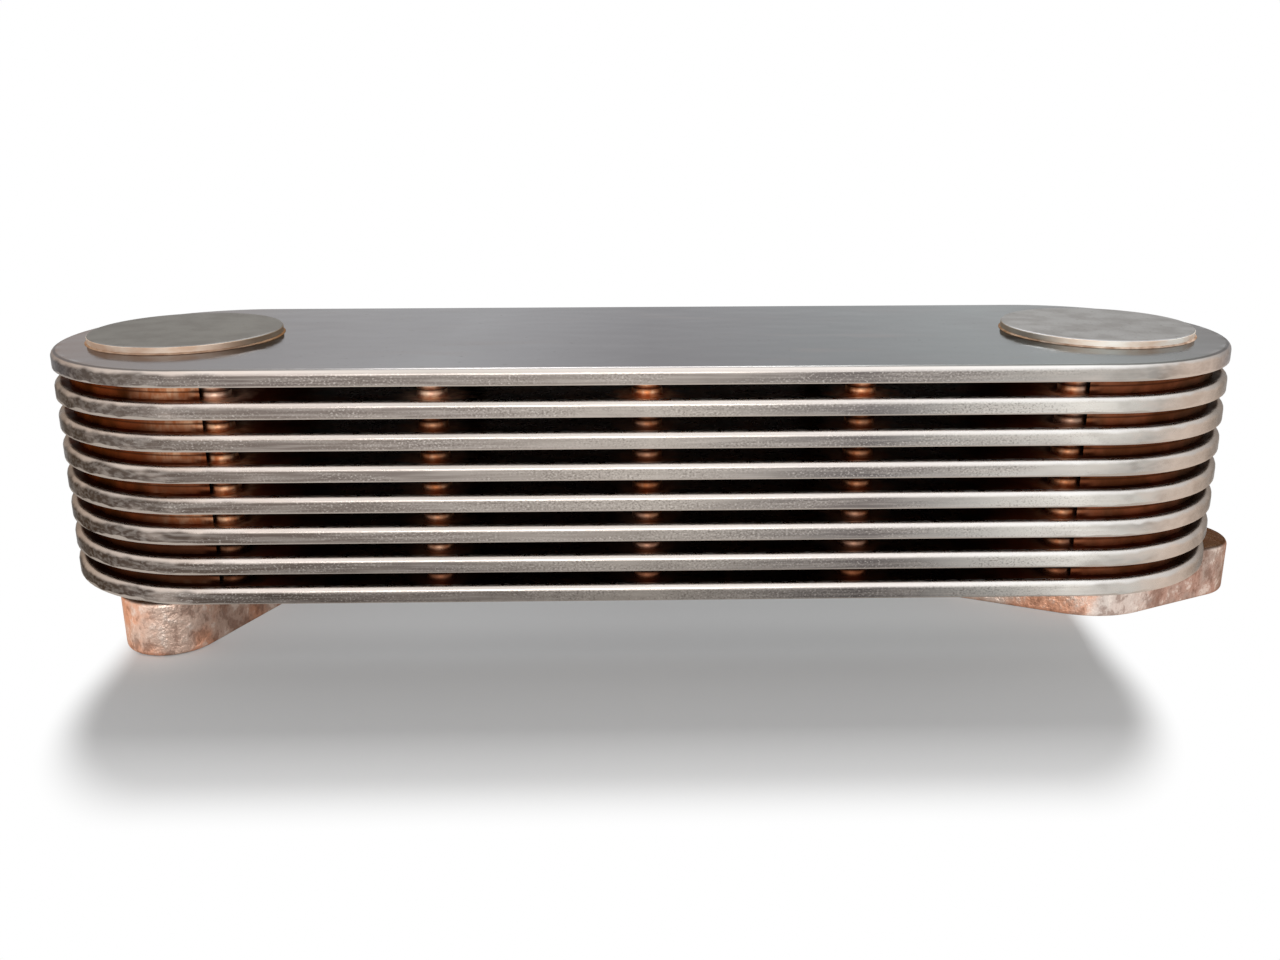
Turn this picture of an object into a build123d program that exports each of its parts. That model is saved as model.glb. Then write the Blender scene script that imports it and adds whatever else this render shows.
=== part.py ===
from build123d import *
from math import acos, cos, radians, sin, tan
import os

# Plate-type oil cooler core: a brazed stack of flat hollow elements between two end
# discs and two bolted flanges. Millimetres, +Z up. The origin is the centre of the
# inlet port on the seating face of its flange, and +X runs to the outlet port.

# Plate elements
plate_length = 300.0
plate_width = 84.0  # the ends are full half circles
element_count = 8
element_height = 4.0
coolant_gap = 3.6  # open height between two elements

# Pressed shells
sheet = 0.8
rim_bend = 1.5  # outer radius where the upper shell turns down into its rim
floor_bend = 0.5  # broken edge under the lower shell
nest_clearance = 0.05  # brazed seam all round between the two nested rims

# Ports, and the raised pads that join one element to the next
port_inset = 31.5  # from the plate's end to the port's axis
port_radius = 13.0
pad_rim = 3.5  # from the plate's outline to the pad's wall, all round the plate's end
pad_reach = 16.0  # from the port's axis to the straight end of the pad
pad_bulge_radius = 24.0  # the pad goes round the port past its straight end
pad_relief = 0.4  # the pad stays this far from the foot of the nearest dimples

# Dimples that hold the elements apart along both sides
dimple_count = 5  # in each row
dimple_inset = 7.0  # from the plate's side to the row
dimple_offset = 18.0  # from the port's axis to the first dimple, along the row
dimple_tip_radius = 3.5  # where two dimples meet
lid_dimple_draft = 0.2  # the dimple is this much wider where it leaves the sheet
pan_dimple_draft = 0.5

# Corrugated turbulator inside each element
fin_sheet = 0.3
fin_pitch = 5.0
fin_crest = 1.6  # flat width of each crest and root
fin_side_margin = 1.5  # from the lower shell's rim
fin_port_margin = 2.0  # from the bulge of the pad

# End discs that close the two ports at the top
cap_radius = 24.0
cap_thickness = 1.9
cap_chamfer = 0.3

# Two-bolt flanges brazed under the stack
flange_height = 14.0
flange_hub_radius = 24.0
flange_lobe_radius = 11.5
flange_edge_radius = 1.2
flange_side_margin = 0.5  # the flange across the plates ends this far inside their side
bolt_hole_radius = 3.4  # tapping drill for an M8 thread
bolt_hole_depth = 10.5
drill_point_angle = 118.0

# Places that follow from the sizes above
port_spacing = plate_length - 2 * port_inset
port_places = [(0.0, 0.0), (port_spacing, 0.0)]
stack_centre = port_spacing / 2
element_pitch = element_height + coolant_gap
bump_height = coolant_gap / 2
relief_radius = dimple_tip_radius + pan_dimple_draft + pad_relief
pan_inset = sheet + nest_clearance
bolt_distance = plate_width / 2 - flange_side_margin - flange_lobe_radius
stack_top = flange_height + element_height + (element_count - 1) * element_pitch

standing = (Align.CENTER, Align.CENTER, Align.MIN)


def element_base(number):
    """Height of an element's underside. Number 1 is at the top of the stack."""
    return flange_height + (element_count - number) * element_pitch


def obround_block(inset, low, high):
    """Block with the plate's outline, drawn in by inset, between two heights."""
    outline = SlotOverall(plate_length - 2 * inset, plate_width - 2 * inset)
    return Pos(stack_centre, 0, low) * extrude(outline, high - low)


def dimple_places():
    """Centres of the dimples: a row along each side, between the two ports."""
    step = (port_spacing - 2 * dimple_offset) / (dimple_count - 1)
    side = plate_width / 2 - dimple_inset
    return [(dimple_offset + i * step, y) for i in range(dimple_count) for y in (-side, side)]


def dimples(inset, draft, low):
    """Tapered round dimples, half as high as the coolant gap, that rise from one height."""
    tip_radius = dimple_tip_radius - inset
    dimple = Cone(tip_radius + draft, tip_radius, bump_height, align=standing)
    return [Pos(x, y, low) * dimple for x, y in dimple_places()]


def end_pads(inset, low):
    """Pads as high as the dimples. They follow the plate's round ends, are cut straight
    across towards the middle, bulge round the ports and give way to the first dimples."""
    middle = Box(port_spacing - 2 * (pad_reach - inset), plate_width, bump_height, align=standing)
    relief = Cylinder(relief_radius + inset, bump_height, align=standing)
    reliefs = [Pos(x, y, low) * relief for x, y in dimple_places()]
    ends = obround_block(pad_rim + inset, low, low + bump_height) - Pos(stack_centre, 0, low) * middle
    bulge = Cylinder(pad_bulge_radius - inset, bump_height, align=standing)
    return [ends - reliefs] + [Pos(x, y, low) * bulge for x, y in port_places]


def formed_bumps(inset, dimple_draft, low):
    """Pads and dimples on one face of a sheet. The outer face has an inset of 0, and the
    inner face an inset of one sheet thickness."""
    return end_pads(inset, low) + dimples(inset, dimple_draft, low)


def port_cutters(low, high):
    """Cylinders that open both ports between two heights."""
    cutter = Cylinder(port_radius, high - low, align=standing)
    return [Pos(x, y, low) * cutter for x, y in port_places]


def upper_shell(formed):
    """Lid of an element, its rim turned down all round. A formed one has pads and
    dimples on top, and the topmost one is flat where the end discs are brazed to it."""
    roof = element_height - sheet
    skin = obround_block(0, 0, element_height)
    skin = fillet(skin.edges().group_by(Axis.Z)[-1], rim_bend)
    hollow = obround_block(sheet, 0, roof)
    hollow = chamfer(hollow.edges().group_by(Axis.Z)[-1], rim_bend - sheet)
    if formed:
        skin += formed_bumps(0, lid_dimple_draft, element_height)
        hollow += formed_bumps(sheet, lid_dimple_draft, roof)
    return skin - hollow - port_cutters(0, element_pitch)


def lower_shell(formed):
    """Pan of an element, nested in the lid's rim up to the start of the lid's bend. A
    formed one has pads and dimples underneath, and the lowest one is flat where the
    flanges are brazed to it."""
    rim_top = element_height - rim_bend
    skin = obround_block(pan_inset, 0, rim_top)
    skin = chamfer(skin.edges().group_by(Axis.Z)[0], floor_bend)
    hollow = obround_block(pan_inset + sheet, sheet, rim_top)
    if formed:
        skin += [mirror(bump, Plane.XY) for bump in formed_bumps(0, pan_dimple_draft, 0)]
        hollow += [mirror(bump, Plane.XY) for bump in formed_bumps(sheet, pan_dimple_draft, -sheet)]
    return skin - hollow - port_cutters(-element_pitch, element_height)


def turbulator():
    """Corrugated sheet between the two shells, its channels running from port to port."""
    root = sheet + fin_sheet
    crest = element_height - sheet
    room = plate_width - 2 * (pan_inset + sheet + fin_side_margin)
    waves = int(room / fin_pitch)
    start = -waves * fin_pitch / 2
    half = fin_pitch / 2
    top_line = []
    for wave in range(waves):
        y = start + wave * fin_pitch
        top_line += [(y, root), (y + fin_crest, root)]
        top_line += [(y + half, crest), (y + half + fin_crest, crest)]
    top_line += [(-start, root)]
    bottom_line = [(y, z - fin_sheet) for y, z in reversed(top_line)]
    section = make_face(Plane.YZ * Polyline(top_line + bottom_line, close=True))
    clearance = pad_bulge_radius + fin_port_margin
    length = port_spacing - 2 * clearance
    return Pos(clearance, 0, 0) * extrude(section, length, dir=(1, 0, 0))


def cap_disc():
    """Plain disc that closes a port at the top of the stack."""
    disc = Cylinder(cap_radius, cap_thickness, align=standing)
    return chamfer(disc.edges().group_by(Axis.Z)[-1], cap_chamfer)


def bolt_hole():
    """Blind tapped hole with its drill point."""
    point_height = bolt_hole_radius / tan(radians(drill_point_angle / 2))
    point = Cone(bolt_hole_radius, 0, point_height, align=standing)
    return Cylinder(bolt_hole_radius, bolt_hole_depth, align=standing) + Pos(0, 0, bolt_hole_depth) * point


def flange_outline():
    """Round hub between two round bolt lobes, joined by straight tangents."""
    lean = acos((flange_hub_radius - flange_lobe_radius) / bolt_distance)

    def on_circle(centre, radius, angle):
        return (centre + radius * cos(angle), radius * sin(angle))

    def tangent_point(side, up, centre, radius):
        x, y = on_circle(centre, radius, lean)
        return (side * x, up * y)

    edges = []
    for side in (-1, 1):
        hub = [tangent_point(side, up, 0, flange_hub_radius) for up in (-1, 1)]
        lobe = [tangent_point(side, up, bolt_distance, flange_lobe_radius) for up in (-1, 1)]
        tip = (side * (bolt_distance + flange_lobe_radius), 0)
        edges += [Line(hub[0], lobe[0]), ThreePointArc(lobe[0], tip, lobe[1]), Line(lobe[1], hub[1])]
    for up in (-1, 1):
        ends = [tangent_point(side, up, 0, flange_hub_radius) for side in (-1, 1)]
        edges += [ThreePointArc(ends[0], (0, up * flange_hub_radius), ends[1])]
    return make_face(edges)


def port_flange():
    """Rhombic flange with a port through its hub and a tapped hole in each lobe."""
    body = extrude(flange_outline(), flange_height)
    body = fillet(body.edges().filter_by(Plane.XY), flange_edge_radius)
    holes = [Pos(side * bolt_distance, 0, 0) * bolt_hole() for side in (-1, 1)]
    return body - Cylinder(port_radius, flange_height, align=standing) - holes


def write(shape, name):
    export_step(shape, "parts/" + name + ".step")


def write_elements():
    """Every element from the top of the stack down, each of two shells and a turbulator."""
    fin = turbulator()
    lid = upper_shell(formed=True)
    top_lid = upper_shell(formed=False)
    pan = lower_shell(formed=True)
    bottom_pan = lower_shell(formed=False)
    for number in range(1, element_count + 1):
        place = Pos(0, 0, element_base(number))
        write(place * (top_lid if number == 1 else lid), f"upper_shell_{number}")
        write(place * (bottom_pan if number == element_count else pan), f"lower_shell_{number}")
        write(place * fin, f"turbulator_{number}")


def write_ends():
    """Discs on top of the stack, and flanges under it turned a quarter turn apart."""
    disc = cap_disc()
    flange = port_flange()
    names = ("inlet", "outlet")
    turns = (90, 0)  # the inlet flange lies across the plates, the outlet flange along them
    for name, turn, (x, y) in zip(names, turns, port_places):
        write(Pos(x, y, stack_top) * disc, name + "_cap_disc")
        write(Pos(x, y, 0) * Rot(0, 0, turn) * flange, name + "_flange")


os.makedirs("parts", exist_ok=True)
write_elements()
write_ends()
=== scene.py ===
from math import pi, radians

import bmesh
import bpy
from mathutils import Matrix, Vector


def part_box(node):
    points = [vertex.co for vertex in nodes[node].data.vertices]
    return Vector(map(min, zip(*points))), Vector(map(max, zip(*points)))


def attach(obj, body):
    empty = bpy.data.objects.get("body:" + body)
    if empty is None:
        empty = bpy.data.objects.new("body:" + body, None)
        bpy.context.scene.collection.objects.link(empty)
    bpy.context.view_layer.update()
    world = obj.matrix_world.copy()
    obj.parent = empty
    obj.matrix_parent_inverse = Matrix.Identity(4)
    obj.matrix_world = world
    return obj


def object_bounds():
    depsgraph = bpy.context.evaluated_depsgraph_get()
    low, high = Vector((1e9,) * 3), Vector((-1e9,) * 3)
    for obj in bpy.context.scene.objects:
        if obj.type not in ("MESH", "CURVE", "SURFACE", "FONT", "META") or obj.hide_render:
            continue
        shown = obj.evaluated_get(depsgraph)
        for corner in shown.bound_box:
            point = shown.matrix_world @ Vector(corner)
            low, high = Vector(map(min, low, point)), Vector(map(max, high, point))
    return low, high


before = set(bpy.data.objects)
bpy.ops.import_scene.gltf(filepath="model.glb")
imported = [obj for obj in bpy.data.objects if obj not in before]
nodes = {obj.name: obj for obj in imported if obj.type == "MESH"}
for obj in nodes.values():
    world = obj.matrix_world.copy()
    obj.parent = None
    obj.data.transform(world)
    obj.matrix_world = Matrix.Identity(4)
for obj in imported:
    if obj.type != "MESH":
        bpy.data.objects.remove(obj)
cad_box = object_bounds()
mm = 0.001

# Sizes and places of the core, in metres, read from the frame. X runs from port to port.
core_foot = Vector(cad_box[0]).z
hub_low, hub_high = (Vector(corner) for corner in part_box("outlet_flange"))
lid_low, lid_high = (Vector(corner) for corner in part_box("upper_shell_2"))
disc_low, disc_high = (Vector(corner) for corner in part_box("inlet_cap_disc"))
port_spacing = (hub_low.x + hub_high.x) / 2
stack_centre = port_spacing / 2
plate_radius = (lid_high.y - lid_low.y) / 2
plate_straight = (lid_high.x - lid_low.x) / 2 - plate_radius  # from the centre to each round end
stack_foot = hub_high.z
plate_top = disc_low.z
disc_radius = (disc_high.x - disc_low.x) / 2

# The pressed elements
element_height = 4.0 * mm
element_pitch = 7.6 * mm
bump_height = 1.8 * mm  # of a pad or dimple; two of them meet halfway across a gap
dimple_spacing = 50.25 * mm
dimple_row = 35.0 * mm  # from the plate's middle line
pad_end = 102.5 * mm  # from the stack's centre to the straight end of each pad
top_gap_foot = plate_top - element_pitch

# The photograph's camera
camera_place = (113.0 * mm, -306.3 * mm, 129.7 * mm)
camera_turn = 0.96  # degrees, to the right of +Y
camera_drop = 16.31  # degrees below the horizon
camera_roll = -0.17  # degrees
camera_lens = 33.43
camera_shift = (-0.0024, -0.0255)

# The studio
floor_size = 6.0
floor_gap = 0.05 * mm  # between the floor and the flanges
lamp_aim = (stack_centre, 0, 30 * mm)
room_light = 0.55
# The shadow's outline: past it, white is painted over the real shadow.
shadow_shift = 8 * mm  # the shadow's middle lies this far before the core's
shadow_half = (90 * mm, 55 * mm, 0)  # half of its straight sides, along and across the core
shadow_edge = (40 * mm, 60 * mm)  # past those sides it starts to fade, and is gone
quicker_at_ends = (1.7, 1, 1)  # the fade is this much quicker along the core
under_core = (55 * mm, 20 * mm)  # nearer the core's middle line the shadow is lighter
# Share of white painted over the shadow near the core's middle line.
painted_light_under_core = 0.28


def linear(hex_colour):
    """sRGB hex to linear colour with alpha 1."""
    channels = [int(hex_colour[i:i + 2], 16) / 255 for i in (1, 3, 5)]
    return tuple(c / 12.92 if c <= 0.04045 else ((c + 0.055) / 1.055) ** 2.4 for c in channels) + (1.0,)


def add_node(tree, kind, settings=None, inputs=None):
    """One shader node with its settings. An input is a value, a socket, or a node, which
    stands for its first output."""
    node = tree.nodes.new(kind)
    for name, value in (settings or {}).items():
        setattr(node, name, value)
    for name, value in (inputs or {}).items():
        if isinstance(value, bpy.types.Node):
            value = value.outputs[0]
        if isinstance(value, bpy.types.NodeSocket):
            tree.links.new(value, node.inputs[name])
        else:
            node.inputs[name].default_value = value
    return node


def new_metal(name, edge_tint):
    """Material with a bare metal shader and the place on the core that its pattern reads."""
    material = bpy.data.materials.new(name)
    material.use_nodes = True
    tree = material.node_tree
    shader = tree.nodes["Principled BSDF"]
    shader.inputs["Metallic"].default_value = 1.0
    shader.inputs["Specular Tint"].default_value = linear(edge_tint)
    place = add_node(tree, "ShaderNodeTexCoord").outputs["Object"]
    return material, tree, shader, place


def grain(tree, place, size, detail=2.0, stretch=(1, 1, 1), roughness=0.5):
    """Noise with lumps of about one size in metres, drawn out along an axis by stretch."""
    scaled = add_node(tree, "ShaderNodeVectorMath", {"operation": "DIVIDE"}, {0: place, 1: stretch})
    return add_node(tree, "ShaderNodeTexNoise", None,
                    {"Vector": scaled, "Scale": 1 / size, "Detail": detail, "Roughness": roughness})


def band(tree, value, start, end):
    """0 before start and 1 after end, with a soft step between. Start may be the larger."""
    return add_node(tree, "ShaderNodeMapRange", {"interpolation_type": "SMOOTHSTEP"},
                    {"Value": value, "From Min": start, "From Max": end})


def both(tree, a, b):
    """The share where two shares overlap."""
    return add_node(tree, "ShaderNodeMath", {"operation": "MULTIPLY"}, {0: a, 1: b})


def either(tree, a, b):
    """The larger of two shares."""
    return add_node(tree, "ShaderNodeMath", {"operation": "MAXIMUM"}, {0: a, 1: b})


def blend(tree, share, under, over):
    """One colour over another, each a hex value or a node."""
    mix = add_node(tree, "ShaderNodeMix", {"data_type": "RGBA"})
    for socket, value in zip((mix.inputs[0], mix.inputs[6], mix.inputs[7]), (share, under, over)):
        if isinstance(value, str):
            socket.default_value = linear(value)
        else:
            tree.links.new(value if isinstance(value, bpy.types.NodeSocket) else value.outputs[0], socket)
    return mix.outputs[2]


def along_core(tree, place, colours):
    """Colours evenly spaced along the core, from 30 mm before the inlet port's axis to 33 mm
    past the outlet port's, each shading into the next."""
    along = add_node(tree, "ShaderNodeSeparateXYZ", None, {0: place}).outputs["X"]
    share = add_node(tree, "ShaderNodeMapRange", None,
                     {"Value": along, "From Min": -30 * mm, "From Max": 270 * mm})
    ramp = add_node(tree, "ShaderNodeValToRGB", None, {0: share})
    stops = ramp.color_ramp.elements
    stops.remove(stops[1])
    for number, colour in enumerate(colours):
        stop = stops.new(number / (len(colours) - 1)) if number else stops[0]
        stop.color = linear(colour)
    return ramp


def folded_place(tree, place):
    """The place with the four quarters of the core folded onto one, flat, from its centre."""
    centred = add_node(tree, "ShaderNodeVectorMath", {"operation": "SUBTRACT"},
                       {0: place, 1: (stack_centre, 0, 0)})
    folded = add_node(tree, "ShaderNodeVectorMath", {"operation": "ABSOLUTE"}, {0: centred})
    return add_node(tree, "ShaderNodeVectorMath", {"operation": "MULTIPLY"}, {0: folded, 1: (1, 1, 0)})


def from_middle(tree, folded):
    """Distance along the core from its middle, towards either port."""
    return add_node(tree, "ShaderNodeSeparateXYZ", None, {0: folded}).outputs["X"]


def distance_from(tree, folded, centre):
    """Distance from one point, flat where the place is folded."""
    offset = add_node(tree, "ShaderNodeVectorMath", {"operation": "SUBTRACT"}, {0: folded, 1: centre})
    return add_node(tree, "ShaderNodeVectorMath", {"operation": "LENGTH"}, {0: offset}).outputs["Value"]


def port_distance(tree, folded):
    """Distance from the nearer port's axis."""
    return distance_from(tree, folded, (stack_centre, 0, 0))


def dimple_distance(tree, folded):
    """Distance from the nearest dimple's axis."""
    half = dimple_spacing / 2
    wrapped = add_node(tree, "ShaderNodeVectorMath", {"operation": "WRAP"},
                       {0: folded, 1: (half, 1, 1), 2: (-half, 0, 0)})
    return distance_from(tree, wrapped, (0, dimple_row, 0))


def edge_distance(tree, folded):
    """Distance inwards from the plate's outline."""
    past = add_node(tree, "ShaderNodeVectorMath", {"operation": "SUBTRACT"},
                    {0: folded, 1: (plate_straight, 0, 0)})
    beyond = add_node(tree, "ShaderNodeVectorMath", {"operation": "MAXIMUM"}, {0: past, 1: (0, 0, 0)})
    from_line = add_node(tree, "ShaderNodeVectorMath", {"operation": "LENGTH"}, {0: beyond}).outputs["Value"]
    return add_node(tree, "ShaderNodeMath", {"operation": "SUBTRACT"}, {0: plate_radius, 1: from_line})


def height_over(tree, place, level):
    """Height above a level that is itself measured from the foot of the stack."""
    z = add_node(tree, "ShaderNodeSeparateXYZ", None, {0: place}).outputs["Z"]
    return add_node(tree, "ShaderNodeMath", {"operation": "SUBTRACT"}, {0: z, 1: stack_foot + level})


def height_in_element(tree, place):
    """Height above the underside of the element that the place is in, its bumps included."""
    from_bump = add_node(tree, "ShaderNodeMath", {"operation": "FLOORED_MODULO"},
                         {0: height_over(tree, place, -bump_height), 1: element_pitch})
    return add_node(tree, "ShaderNodeMath", {"operation": "SUBTRACT"}, {0: from_bump, 1: bump_height})


def height_on_bump(tree, place):
    """Height on a pad's or dimple's wall, from the seam where it meets the next one."""
    from_seam = add_node(tree, "ShaderNodeMath", {"operation": "PINGPONG"},
                         {0: height_over(tree, place, -bump_height), 1: element_pitch / 2})
    return add_node(tree, "ShaderNodeMath", {"operation": "MINIMUM"}, {0: from_seam, 1: bump_height})


def outlet_side(tree, place):
    """0 at the inlet disc and 1 at the outlet disc, which is painted lighter, as a brighter reflection."""
    along = add_node(tree, "ShaderNodeSeparateXYZ", None, {0: place}).outputs["X"]
    return band(tree, along, 60 * mm, 170 * mm)


def facing_side(tree, folded):
    """1 on the side of each disc that faces the other disc, and 0 on the rest."""
    return band(tree, from_middle(tree, folded), stack_centre - 12 * mm, stack_centre - 22 * mm)


def rim_face(tree, place, at_ends):
    """Face of a rim: grey-beige with drawing lines and a fine speckle, soiled in places. Its tone
    along the core is painted shade and reflection, darkest at both round ends, with more painted
    shade over the round inlet end. It is darker low down at the inlet end, and blotched at both ends."""
    axes = add_node(tree, "ShaderNodeSeparateXYZ", None, {0: place})
    along, z = axes.outputs["X"], axes.outputs["Z"]
    # Painted shade and reflection: the face's tone along the core, darkest at both round ends.
    face = along_core(tree, place,
                      ["#463B34", "#7E726A", "#90867F", "#B2A9A0", "#6E6968", "#E6E2DA", "#3E342D"])
    soiled = band(tree, grain(tree, place, 24 * mm, stretch=(2, 1, 0.4)), 0.46, 0.70)
    face = blend(tree, both(tree, soiled, 0.5), face, "#7C726D")
    # Darker low down at the inlet end.
    darker_low_at_inlet = both(tree, band(tree, along, 80 * mm, 0), band(tree, z, 66 * mm, 30 * mm))
    face = blend(tree, both(tree, darker_low_at_inlet, 0.65), face, "#463830")
    top_rim_foot = plate_top - element_height
    top_rim = band(tree, z, top_rim_foot - 0.4 * mm, top_rim_foot - 0.1 * mm)
    face = blend(tree, both(tree, top_rim, 0.4), face, "#665D59")
    drawn = band(tree, grain(tree, place, 0.7 * mm, stretch=(30, 1, 1)), 0.40, 0.65)
    face = blend(tree, both(tree, drawn, 0.35), face, "#C6BDB5")

    # The real speckle is about 0.2 mm, drawn at 0.4 mm so that it shows.
    speckle = grain(tree, place, 0.4 * mm, 3.0, (1.4, 1, 1))
    patches = band(tree, grain(tree, place, 9 * mm, 3.0, (2.5, 1, 0.5)), 0.32, 0.56)
    between_ends = both(tree, band(tree, along, -15 * mm, 20 * mm), band(tree, along, 235 * mm, 200 * mm))
    speckled = both(tree, both(tree, patches, between_ends), 0.6)
    face = blend(tree, both(tree, band(tree, speckle, 0.50, 0.66), speckled), face, "#675E58")
    face = blend(tree, both(tree, band(tree, speckle, 0.46, 0.32), speckled), face, "#DAD2CA")

    blotches = grain(tree, place, 3.5 * mm, stretch=(2.2, 1, 1))
    light = both(tree, band(tree, blotches, 0.48, 0.74), at_ends)
    face = blend(tree, both(tree, light, 0.4), face, "#DACABE")
    dark = both(tree, band(tree, blotches, 0.52, 0.26), at_ends)
    face = blend(tree, both(tree, dark, 0.5), face, "#665A51")
    # Painted shade over the round inlet end, where the rim turns away from the light.
    inlet_end = band(tree, along, 8 * mm, -22 * mm)
    return blend(tree, both(tree, inlet_end, 0.5), face, "#3C3129")


def rim_colour(tree, place, folded):
    """Rims with a painted highlight, nearly white, over the bend, and a thin painted highlight line
    along the foot. At both ends the lines wander over the dents. The painted highlight on the bend
    is duller in patches near the inlet, and the rim has a straw tone past the outlet port."""
    along = add_node(tree, "ShaderNodeSeparateXYZ", None, {0: place}).outputs["X"]
    at_ends = band(tree, from_middle(tree, folded), 80 * mm, 130 * mm)
    wander = add_node(tree, "ShaderNodeMath", {"operation": "MULTIPLY_ADD"},
                      {0: grain(tree, place, 7 * mm), 1: both(tree, at_ends, 2.2 * mm),
                       2: both(tree, at_ends, -1.35 * mm)})
    height = add_node(tree, "ShaderNodeMath", {"operation": "ADD"},
                      {0: height_in_element(tree, place), 1: wander})
    # A thin painted highlight along the rim's foot.
    foot_line = band(tree, height, 0.35 * mm, 0.1 * mm)
    face = blend(tree, foot_line, rim_face(tree, place, at_ends), "#B0A59B")
    straw = both(tree, band(tree, along, 234 * mm, 246 * mm), band(tree, along, 270 * mm, 250 * mm))
    face = blend(tree, both(tree, straw, 0.6), face, "#DCC4B2")
    # Painted highlight over the bend, nearly white, dimmer at both round ends.
    bend = along_core(tree, place,
                      ["#8E7C6D", "#FAEEE6", "#DED5CD", "#F0E7DF", "#F8F0EA", "#FFFDFA", "#8A7A6E"])
    # The painted highlight is duller in patches near the inlet.
    duller_bend_patches = both(tree, band(tree, along, 60 * mm, 10 * mm),
                   band(tree, grain(tree, place, 14 * mm), 0.3, 0.7))
    bend = blend(tree, both(tree, duller_bend_patches, 0.35), bend, "#D2B8A4")
    over_bend = band(tree, height, 2.5 * mm, 3.4 * mm)
    return blend(tree, over_bend, face, bend)


def roof_colour(tree, place):
    """Flat, nearly mirror-bright sheet with painted reflections along the core: brownish grey at the
    inlet end, cooler towards the outlet. It has broad faint clouds, smears, a few specks and a dark
    spot beside the outlet disc."""
    # Painted reflections: the roof's tone along the core.
    face = along_core(tree, place,
                      ["#A48E80", "#AEAAA8", "#C0BFBF", "#989697", "#A0A4A3", "#B7BEBB", "#7E766D"])
    clouds = band(tree, grain(tree, place, 30 * mm, stretch=(1, 2, 1)), 0.4, 0.7)
    face = blend(tree, both(tree, clouds, 0.25), face, "#A09D9C")
    # A dark spot beside the outlet disc.
    from_dark_spot = distance_from(tree, place, (port_spacing - disc_radius, -9 * mm, plate_top))
    face = blend(tree, both(tree, band(tree, from_dark_spot, 4 * mm, 1 * mm), 0.8), face, "#45413C")
    smears = band(tree, grain(tree, place, 9 * mm, 3.0, (3, 1, 1)), 0.55, 0.75)
    face = blend(tree, both(tree, smears, 0.35), face, "#B6ADA8")
    specks = band(tree, grain(tree, place, 1.2 * mm), 0.68, 0.76)
    return blend(tree, both(tree, specks, 0.5), face, "#7C7670")


def gap_colour(tree, place, folded):
    """Sheet inside the coolant gaps, heat browned and painted dark as the shade inside them, with a
    painted copper glow towards the ends. Braze copper has run over the pads and dimples and crept
    out round them. The second result is the share of copper."""
    outward = from_middle(tree, folded)
    crept = add_node(tree, "ShaderNodeMath", {"operation": "MULTIPLY_ADD"},
                     {0: grain(tree, place, 4 * mm, 3.0), 1: 9 * mm, 2: -4.5 * mm})
    past_pad = add_node(tree, "ShaderNodeMath", {"operation": "SUBTRACT"}, {0: outward, 1: crept})
    near_dimple = add_node(tree, "ShaderNodeMath", {"operation": "SUBTRACT"},
                           {0: dimple_distance(tree, folded), 1: crept})
    copper_share = either(tree, band(tree, past_pad, 90 * mm, 100 * mm),
                          band(tree, near_dimple, 10 * mm, 5 * mm))
    # Heat browning painted much darker, as the shade inside the gaps.
    stains = band(tree, grain(tree, place, 7 * mm, 4.0), 0.35, 0.7)
    dark = blend(tree, stains, "#46281A", "#7C4828")
    # Painted glow towards the ends: the copper pads' red light reflected in the sheet.
    dark = blend(tree, both(tree, band(tree, outward, 75 * mm, 98 * mm), 0.8), dark, "#96482A")
    face = blend(tree, copper_share, dark, copper_colour(tree, place, outward, past_pad, stains))
    seam = band(tree, height_on_bump(tree, place), 0.3 * mm, 0.1 * mm)
    return blend(tree, both(tree, seam, 0.7), face, "#3A1C10"), copper_share


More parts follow.
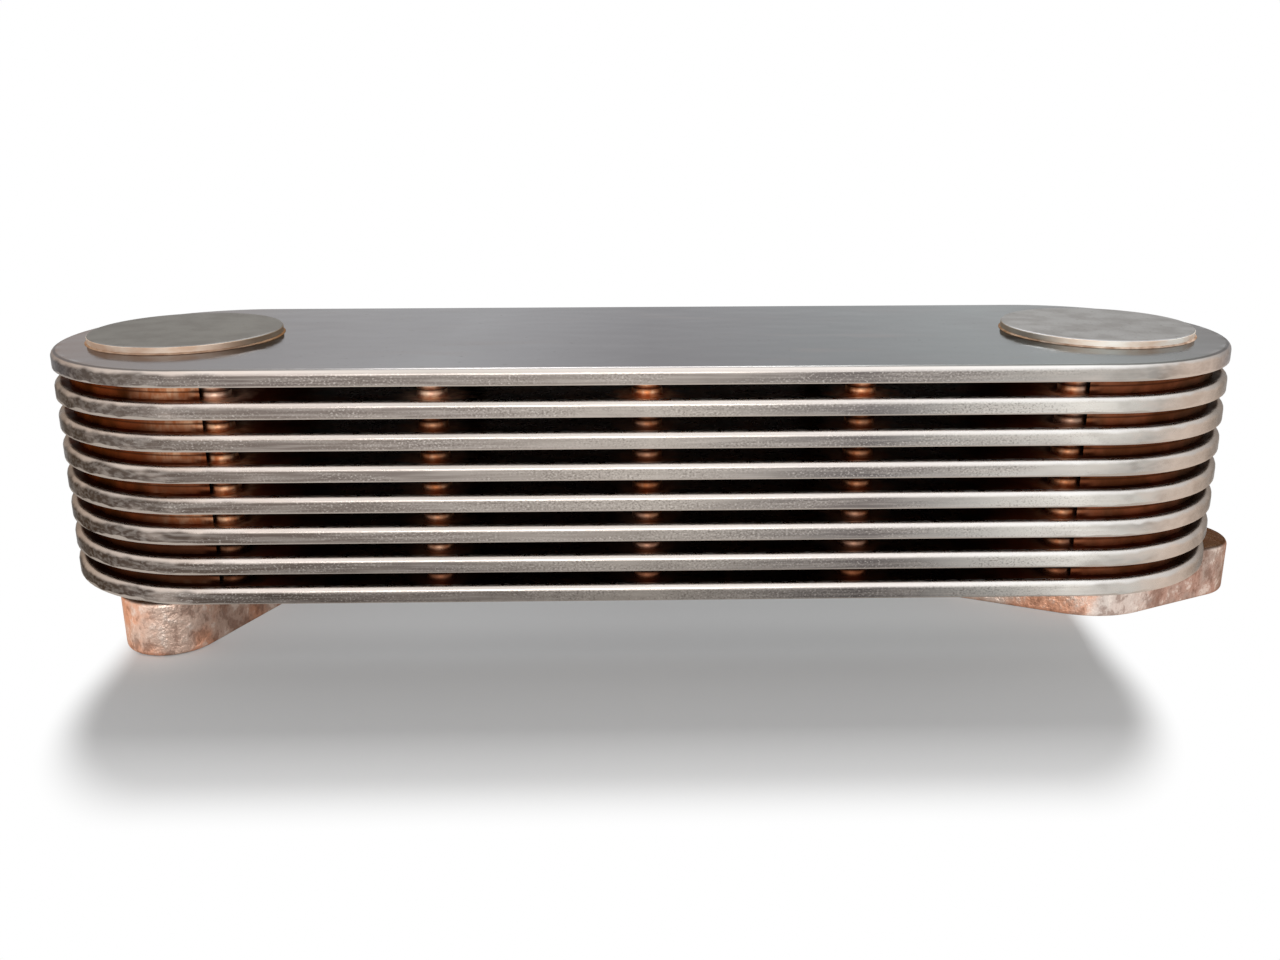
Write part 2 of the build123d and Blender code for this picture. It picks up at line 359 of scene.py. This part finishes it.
def copper_colour(tree, place, outward, past_pad, stains):
    """Braze copper in the gaps. On the dimples it is silvery in the top gap and in patches,
    and browner lower down, least of all on the first dimple. On the pads it is scorched, with
    painted shade round the ends where they turn away, dull at the outlet and darker low down at the inlet."""
    axes = add_node(tree, "ShaderNodeSeparateXYZ", None, {0: place})
    along, z = axes.outputs["X"], axes.outputs["Z"]
    off_pad = band(tree, outward, pad_end + 0.5 * mm, pad_end - 1 * mm)
    on_pad = band(tree, outward, pad_end - 1 * mm, pad_end + 0.5 * mm)
    mottle = grain(tree, place, 1.5 * mm, 3.0, (1, 1, 2))
    copper = blend(tree, band(tree, mottle, 0.3, 0.7), "#D08050", "#FCCCA4")
    copper = blend(tree, both(tree, band(tree, along, 80 * mm, 150 * mm), 0.5), copper, "#9A5E3C")

    in_top_gap = band(tree, z, top_gap_foot - 1.1 * mm, top_gap_foot - 0.1 * mm)
    silver = either(tree, band(tree, grain(tree, place, 24 * mm, 1.0), 0.54, 0.64),
                    both(tree, in_top_gap, band(tree, along, 110 * mm, 50 * mm)))
    silver = both(tree, silver, off_pad)
    copper = blend(tree, both(tree, silver, 0.55), copper, "#CFC1B4")
    first_dimple = band(tree, outward, 85 * mm, 98 * mm)
    browned = add_node(tree, "ShaderNodeMath", {"operation": "MULTIPLY_ADD"},
                       {0: first_dimple, 1: -0.35, 2: 0.75})
    browned = either(tree, browned, both(tree, band(tree, z, 33 * mm, 23 * mm), 0.95))
    below_top_gap = band(tree, z, top_gap_foot - 0.6 * mm, top_gap_foot - 1.6 * mm)
    browned = both(tree, browned, both(tree, below_top_gap, off_pad))
    copper = blend(tree, browned, copper, "#6A3C24")

    deeper = add_node(tree, "ShaderNodeMath", {"operation": "MULTIPLY_ADD"},
                      {0: band(tree, z, 65 * mm, 25 * mm), 1: 0.28, 2: 0.38})
    scorched = band(tree, grain(tree, place, 18 * mm, 1.0, (1.5, 1, 0.35)), 0.42, 0.58)
    scorched = add_node(tree, "ShaderNodeMath", {"operation": "MULTIPLY_ADD"},
                        {0: scorched, 1: 0.42, 2: deeper})
    copper = blend(tree, both(tree, scorched, on_pad), copper, "#6A3820")
    # Painted shade round the pads' far ends, where their walls turn away from the light.
    painted_far_end_shade = blend(tree, stains, "#46230F", "#74381C")
    copper = blend(tree, band(tree, past_pad, 108 * mm, 122 * mm), copper, painted_far_end_shade)
    outlet_pad = both(tree, band(tree, along, 216 * mm, 226 * mm), 0.85)
    copper = blend(tree, outlet_pad, copper, blend(tree, stains, "#522C18", "#804830"))
    copper = blend(tree, both(tree, band(tree, along, 238 * mm, 258 * mm), 0.7), copper, "#4A4036")
    # Darker low down at the inlet end.
    pad_darker_low_at_inlet = both(tree, band(tree, z, 38 * mm, 27 * mm), band(tree, along, 60 * mm, 30 * mm))
    return blend(tree, both(tree, pad_darker_low_at_inlet, 0.75), copper, "#3A2216")


def sheet_relief(tree, place, folded, inward, in_stack):
    """Soft dents along the rims, rounded walls on the dimples, and a fine satin skin."""
    at_ends = both(tree, band(tree, from_middle(tree, folded), 85 * mm, 125 * mm),
                   band(tree, inward, 3 * mm, 1 * mm))
    dent_depth = add_node(tree, "ShaderNodeMath", {"operation": "MULTIPLY_ADD"},
                          {0: at_ends, 1: 0.9, 2: 0.12})
    dents = grain(tree, place, 11 * mm, 1.0, (1.6, 1, 1))
    relief = add_node(tree, "ShaderNodeBump", None,
                      {"Strength": dent_depth, "Distance": 1.2 * mm, "Height": dents})
    if in_stack:
        phase = both(tree, height_on_bump(tree, place), pi / bump_height)
        bulge = add_node(tree, "ShaderNodeMath", {"operation": "SINE"}, {0: phase})
        on_dimple = band(tree, dimple_distance(tree, folded), 7 * mm, 5 * mm)
        relief = add_node(tree, "ShaderNodeBump", None,
                          {"Strength": 1.0, "Distance": 0.22 * mm, "Height": both(tree, bulge, on_dimple),
                           "Normal": relief})
    fine = grain(tree, place, 0.35 * mm)
    return add_node(tree, "ShaderNodeBump", None,
                    {"Strength": 0.35 if in_stack else 0.15, "Distance": 0.03 * mm, "Height": fine,
                     "Normal": relief})


def pressed_sheet(name, in_stack):
    """Stainless sheet, deep drawn and furnace brazed. The eye gets a satin grain with soft
    dents along the rims. Between the rims, a sheet in the stack is heat browned and painted dark as
    the shade inside the gaps, and an outer one is nearly a mirror with a painted dark line, as
    shade, along its edge."""
    material, tree, shader, place = new_metal(name, "#B4B0AC" if in_stack else "#BCBCBE")
    folded = folded_place(tree, place)
    inward = edge_distance(tree, folded)
    smoothest, roughest = (0.24, 0.36) if in_stack else (0.08, 0.14)
    rough = add_node(tree, "ShaderNodeMapRange", None,
                     {"Value": grain(tree, place, 2.5 * mm, 3.0), "From Min": 0.3, "From Max": 0.7,
                      "To Min": smoothest, "To Max": roughest})
    # Copper, heat scale and the outer sheet's edge are each rougher than the clean sheet.
    if in_stack:
        past_bend = band(tree, inward, 1.2 * mm, 1.8 * mm)
        inner, copper_share = gap_colour(tree, place, folded)
        rough = add_node(tree, "ShaderNodeMath", {"operation": "MULTIPLY_ADD"},
                         {0: both(tree, copper_share, past_bend), 1: 0.14, 2: rough})
        outward = from_middle(tree, folded)
        scaled = both(tree, band(tree, outward, 70 * mm, 95 * mm), band(tree, outward, 102 * mm, 100 * mm))
        scaled = both(tree, scaled, band(tree, dimple_distance(tree, folded), 4.5 * mm, 6 * mm))
        rough = add_node(tree, "ShaderNodeMath", {"operation": "MULTIPLY_ADD"},
                         {0: both(tree, scaled, past_bend), 1: 0.2, 2: rough})
    else:
        past_bend = band(tree, inward, 0.5 * mm, 0.8 * mm)
        # Painted shade: a dark line along the roof's edge, where it starts to bend.
        painted_dark_edge = both(tree, band(tree, inward, 1.5 * mm, 1.1 * mm), 0.7)
        inner = blend(tree, painted_dark_edge, roof_colour(tree, place), "#5E5A58")
        rough = add_node(tree, "ShaderNodeMath", {"operation": "MULTIPLY_ADD"},
                         {0: band(tree, inward, 1.6 * mm, 1.4 * mm), 1: 0.2, 2: rough})
    rim = rim_colour(tree, place, folded)
    tree.links.new(blend(tree, past_bend, rim, inner), shader.inputs["Base Color"])
    tree.links.new(rough.outputs[0], shader.inputs["Roughness"])
    relief = sheet_relief(tree, place, folded, inward, in_stack)
    tree.links.new(relief.outputs[0], shader.inputs["Normal"])
    return material


def rolled_strip():
    """Thin mild steel strip with a copper bloom from the furnace. The eye gets fine rolling
    lines across each fold."""
    material, tree, shader, place = new_metal("rolled strip, copper bloom", "#A09890")
    lines = grain(tree, place, 0.6 * mm, stretch=(12, 1, 1))
    bloom = band(tree, grain(tree, place, 6 * mm, 3.0), 0.4, 0.65)
    steel = blend(tree, lines, "#6E6862", "#8C857D")
    tree.links.new(blend(tree, bloom, steel, "#8A5A3E"), shader.inputs["Base Color"])
    shader.inputs["Roughness"].default_value = 0.4
    bump = add_node(tree, "ShaderNodeBump", None, {"Strength": 0.3, "Distance": 0.02 * mm, "Height": lines})
    tree.links.new(bump.outputs[0], shader.inputs["Normal"])
    return material


def stamped_disc():
    """Stainless disc blanked from sheet. The eye gets a blotchy satin face and a side that
    braze copper has wetted, with painted shade where the two discs face each other. The outlet
    disc is painted lighter, as a brighter reflection."""
    material, tree, shader, place = new_metal("stamped disc, satin", "#A8A5A0")
    folded = folded_place(tree, place)
    # The outlet disc is painted lighter than the inlet disc, as a brighter reflection.
    painted_lighter_outlet = outlet_side(tree, place)
    clouds = both(tree, band(tree, grain(tree, place, 8 * mm, 4.0), 0.38, 0.66), 0.6)
    inlet_face = blend(tree, clouds, "#9A9895", "#858280")
    outlet_face = blend(tree, clouds, "#C6C6C7", "#A3A1A1")
    face = blend(tree, painted_lighter_outlet, inlet_face, outlet_face)
    specks = band(tree, grain(tree, place, 0.9 * mm, 3.0), 0.62, 0.72)
    face = blend(tree, both(tree, specks, 0.5), face, "#6E6863")

    bare = band(tree, grain(tree, place, 8 * mm, 3.0, (1, 1, 0.4)), 0.3, 0.7)
    wetted = blend(tree, painted_lighter_outlet, "#D6B8A0", "#F2DAC6")
    side = blend(tree, bare, wetted, blend(tree, painted_lighter_outlet, "#EADACA", "#FFFBF4"))
    # Painted shade on the sides of the discs that face each other.
    side = blend(tree, both(tree, facing_side(tree, folded), 0.8), side, "#5C5040")
    on_side = band(tree, port_distance(tree, folded), disc_radius - 0.15 * mm, disc_radius - 0.05 * mm)
    tree.links.new(blend(tree, on_side, face, side), shader.inputs["Base Color"])
    rough = add_node(tree, "ShaderNodeMath", {"operation": "MULTIPLY_ADD"}, {0: on_side, 1: 0.3, 2: 0.3})
    tree.links.new(rough.outputs[0], shader.inputs["Roughness"])

    waves = grain(tree, place, 6 * mm)
    bump = add_node(tree, "ShaderNodeBump", None, {"Strength": 0.15, "Distance": 0.5 * mm, "Height": waves})
    fine = grain(tree, place, 0.4 * mm, 3.0)
    bump = add_node(tree, "ShaderNodeBump", None,
                    {"Strength": 0.4, "Distance": 0.03 * mm, "Height": fine, "Normal": bump})
    tree.links.new(bump.outputs[0], shader.inputs["Normal"])
    return material


def washed_casting():
    """Steel flange with braze copper washed over its rough skin. The eye gets a crumpled
    metal skin with painted highlights on the crests and painted shade in the hollows, copper and
    pinkish-grey patches, painted shade on the inlet flange's far side and on the upper face by the
    stack, and a machined seating face underneath."""
    material, tree, shader, place = new_metal("rough steel, copper washed", "#C0A898")
    axes = add_node(tree, "ShaderNodeSeparateXYZ", None, {0: place})
    along, z = axes.outputs["X"], axes.outputs["Z"]
    crumple = grain(tree, place, 3.5 * mm, 3.0, (1, 1, 1.2))
    fine = grain(tree, place, 0.8 * mm, 4.0, (1, 1, 1.3), 0.6)
    relief = add_node(tree, "ShaderNodeMath", {"operation": "MULTIPLY_ADD"}, {0: fine, 1: 0.45, 2: crumple})
    patches = band(tree, grain(tree, place, 11 * mm, 3.0), 0.42, 0.6)
    ragged = add_node(tree, "ShaderNodeMath", {"operation": "MULTIPLY_ADD"},
                      {0: grain(tree, place, 5 * mm, 5.0, roughness=0.75), 1: 20 * mm, 2: along})
    skin = blend(tree, patches, "#F2B696", "#E2C4B2")
    outlet_tip = blend(tree, patches, "#BE9888", "#B8A296")
    skin = blend(tree, band(tree, ragged, 250 * mm, 266 * mm), skin, outlet_tip)
    bare = both(tree, band(tree, ragged, 238 * mm, 248 * mm), band(tree, ragged, 266 * mm, 256 * mm))
    skin = blend(tree, both(tree, bare, 0.8), skin, "#DCD2CA")
    # Painted shade on the side of the inlet flange that faces away from the light.
    inlet_painted_shade = both(tree, band(tree, along, 6 * mm, 16 * mm), band(tree, along, 80 * mm, 60 * mm))
    skin = blend(tree, both(tree, inlet_painted_shade, 0.45), skin, "#7A5A4C")
    # Painted shade in the crumple's hollows and painted highlights on its crests.
    skin = blend(tree, both(tree, band(tree, relief, 0.72, 0.56), 0.5), skin, "#7A5444")
    skin = blend(tree, both(tree, band(tree, relief, 0.76, 0.92), 0.5), skin, "#FFEFE2")
    # Painted shade on the upper face, by the stack.
    at_stack = band(tree, z, stack_foot - 0.7 * mm, stack_foot - 0.1 * mm)
    skin = blend(tree, both(tree, at_stack, 0.95), skin, "#483830")

    # The facing cuts are about 0.2 mm apart, drawn at 0.9 mm so that they show.
    half_cut = 0.45 * mm
    cuts = add_node(tree, "ShaderNodeMath", {"operation": "PINGPONG"},
                    {0: port_distance(tree, folded_place(tree, place)), 1: half_cut})
    machined = blend(tree, band(tree, cuts, 0, half_cut), "#9D958C", "#C4BDB4")
    seat = band(tree, z, 0.4 * mm, 0.1 * mm)
    tree.links.new(blend(tree, seat, skin, machined), shader.inputs["Base Color"])
    rough_skin = add_node(tree, "ShaderNodeMath", {"operation": "MULTIPLY_ADD"}, {0: seat, 1: -0.75, 2: 0.8})
    bump = add_node(tree, "ShaderNodeBump", None,
                    {"Strength": rough_skin, "Distance": 0.8 * mm, "Height": relief})
    tree.links.new(bump.outputs[0], shader.inputs["Normal"])
    rough = add_node(tree, "ShaderNodeMapRange", None,
                     {"Value": relief, "From Min": 0.55, "From Max": 0.9, "To Min": 0.5, "To Max": 0.32})
    tree.links.new(rough.outputs[0], shader.inputs["Roughness"])
    return material


def run_braze():
    """Copper braze drawn into a corner. The eye gets a thin straw and copper line, with painted
    shade where the two discs face each other, and lighter at the outlet disc as a painted reflection."""
    material, tree, shader, place = new_metal("braze copper, bright", "#C0A088")
    runs = grain(tree, place, 3 * mm)
    # Lighter at the outlet disc, as a painted reflection.
    bright = blend(tree, outlet_side(tree, place), "#C8AE98", "#F4E2D2")
    colour = blend(tree, band(tree, runs, 0.25, 0.75), "#A88A74", bright)
    # Painted shade where the two discs face each other.
    painted_shade_facing = both(tree, facing_side(tree, folded_place(tree, place)), 0.8)
    tree.links.new(blend(tree, painted_shade_facing, colour, "#5A4634"), shader.inputs["Base Color"])
    shader.inputs["Roughness"].default_value = 0.45
    bump = add_node(tree, "ShaderNodeBump", None, {"Strength": 0.3, "Distance": 0.06 * mm, "Height": runs})
    tree.links.new(bump.outputs[0], shader.inputs["Normal"])
    return material


def add_disc_braze(name, x, finish):
    """Hollow-faced bead of braze round the foot of an end disc."""
    profile = bmesh.new()
    # Each corner's millimetres out from the disc's side and up from the plate
    corners = [(-0.05, 0), (0.5, 0), (0.32, 0.06), (0.14, 0.15), (0, 0.35), (-0.05, 0.35)]
    ring = [profile.verts.new((x + disc_radius + out * mm, 0, plate_top + up * mm)) for out, up in corners]
    for start, end in zip(ring, ring[1:] + ring[:1]):
        profile.edges.new((start, end))
    bmesh.ops.spin(profile, geom=profile.verts[:] + profile.edges[:], cent=(x, 0, 0), axis=(0, 0, 1),
                   angle=radians(360), steps=96, use_merge=True)
    bmesh.ops.recalc_face_normals(profile, faces=profile.faces[:])
    for face in profile.faces:
        face.smooth = True
    mesh = bpy.data.meshes.new(name)
    profile.to_mesh(mesh)
    profile.free()
    mesh.materials.append(finish)
    piece = bpy.data.objects.new(name, mesh)
    bpy.context.collection.objects.link(piece)
    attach(piece, "root")


def set_camera():
    """The view of the photograph."""
    camera = bpy.data.objects.new("camera", bpy.data.cameras.new("camera"))
    bpy.context.collection.objects.link(camera)
    turn = Matrix.Rotation(radians(-camera_turn), 4, "Z")
    tilt = Matrix.Rotation(radians(90 - camera_drop), 4, "X")
    roll = Matrix.Rotation(radians(camera_roll), 4, "Z")
    camera.matrix_world = Matrix.Translation(camera_place) @ turn @ tilt @ roll
    camera.data.lens = camera_lens
    camera.data.shift_x, camera.data.shift_y = camera_shift
    bpy.context.scene.camera = camera


def add_lamp(name, place, size, power):
    """Softbox turned towards the middle of the core."""
    lamp = bpy.data.lights.new(name, "AREA")
    lamp.shape = "RECTANGLE"
    lamp.size, lamp.size_y = size
    lamp.energy = power
    holder = bpy.data.objects.new(name, lamp)
    bpy.context.collection.objects.link(holder)
    holder.location = place
    holder.rotation_euler = (Vector(lamp_aim) - Vector(place)).to_track_quat("-Z", "Y").to_euler()


def seen_directly(tree):
    """1 where the camera, a mirror or glass sees the surface, and 0 for its light."""
    path = add_node(tree, "ShaderNodeLightPath")
    seen = either(tree, path.outputs["Is Camera Ray"], path.outputs["Is Glossy Ray"])
    return either(tree, seen, path.outputs["Is Transmission Ray"])


def set_world():
    """Soft even light, from a backdrop that looks white."""
    world = bpy.data.worlds.new("studio")
    bpy.context.scene.world = world
    world.use_nodes = True
    tree = world.node_tree
    tree.nodes.clear()
    light = add_node(tree, "ShaderNodeBackground", None, {"Color": (1, 1, 1, 1), "Strength": room_light})
    white = add_node(tree, "ShaderNodeBackground", None, {"Color": (1, 1, 1, 1), "Strength": 1.0})
    mix = add_node(tree, "ShaderNodeMixShader", None, {0: seen_directly(tree), 1: light, 2: white})
    add_node(tree, "ShaderNodeOutputWorld", None, {"Surface": mix})


def past_shadow(tree):
    """Share of white painted over the floor: all of it past the shadow's soft round-cornered
    outline, which cuts off the real shadow there, and a little over the shadow right under the core."""
    place = add_node(tree, "ShaderNodeTexCoord").outputs["Object"]
    shifted = add_node(tree, "ShaderNodeVectorMath", {"operation": "ADD"},
                       {0: place, 1: (shadow_shift, 0, 0)})
    reach = add_node(tree, "ShaderNodeVectorMath", {"operation": "ABSOLUTE"}, {0: shifted})
    past = add_node(tree, "ShaderNodeVectorMath", {"operation": "SUBTRACT"}, {0: reach, 1: shadow_half})
    past = add_node(tree, "ShaderNodeVectorMath", {"operation": "MAXIMUM"}, {0: past, 1: (0, 0, 0)})
    past = add_node(tree, "ShaderNodeVectorMath", {"operation": "MULTIPLY"}, {0: past, 1: quicker_at_ends})
    away = add_node(tree, "ShaderNodeVectorMath", {"operation": "LENGTH"}, {0: past}).outputs["Value"]
    across = add_node(tree, "ShaderNodeSeparateXYZ", None, {0: reach}).outputs["Y"]
    return either(tree, band(tree, away, *shadow_edge),
                  both(tree, band(tree, across, *under_core), painted_light_under_core))


def set_floor():
    """Pale floor that keeps the shadow near the core and runs out into the white backdrop.
    Its underside lets the view through to the core's own."""
    bpy.ops.mesh.primitive_plane_add(size=floor_size, location=(stack_centre, 0, core_foot - floor_gap))
    floor = bpy.context.object
    floor.name = "floor"
    material = bpy.data.materials.new("pale studio floor")
    material.use_nodes = True
    tree = material.node_tree
    shader = tree.nodes["Principled BSDF"]
    shader.inputs["Base Color"].default_value = linear("#E6E6E6")
    shader.inputs["Roughness"].default_value = 0.9
    white = add_node(tree, "ShaderNodeEmission", None, {"Color": (1, 1, 1, 1), "Strength": 1.0})
    top = add_node(tree, "ShaderNodeMixShader", None,
                   {0: both(tree, past_shadow(tree), seen_directly(tree)), 1: shader, 2: white})
    underneath = add_node(tree, "ShaderNodeNewGeometry").outputs["Backfacing"]
    clear = add_node(tree, "ShaderNodeBsdfTransparent")
    mix = add_node(tree, "ShaderNodeMixShader", None, {0: underneath, 1: top, 2: clear})
    tree.links.new(mix.outputs[0], tree.nodes["Material Output"].inputs["Surface"])
    floor.data.materials.append(material)


def finish_for(name, finishes):
    """The finish of a CAD node, by its name."""
    if "flange" in name:
        return finishes["casting"]
    if "disc" in name:
        return finishes["disc"]
    if "turbulator" in name:
        return finishes["strip"]
    outer = name in ("upper_shell_1", "lower_shell_8")
    return finishes["outer sheet" if outer else "inner sheet"]


set_camera()
set_world()
set_floor()
add_lamp("rear softbox", place=(stack_centre, 0.55, 0.85), size=(0.5, 0.35), power=6)
add_lamp("front softbox", place=(0.06, -0.75, 0.18), size=(0.35, 0.12), power=1)
finishes = {
    "outer sheet": pressed_sheet("pressed stainless, satin", in_stack=False),
    "inner sheet": pressed_sheet("pressed stainless, heat browned, painted gap shade", in_stack=True),
    "strip": rolled_strip(),
    "disc": stamped_disc(),
    "casting": washed_casting(),
    "braze": run_braze(),
}
for name, node in nodes.items():
    node.data.materials.clear()
    node.data.materials.append(finish_for(name, finishes))
for name, x in (("inlet_disc_braze", 0), ("outlet_disc_braze", port_spacing)):
    add_disc_braze(name, x, finishes["braze"])
bpy.context.scene.view_settings.view_transform = "Standard"
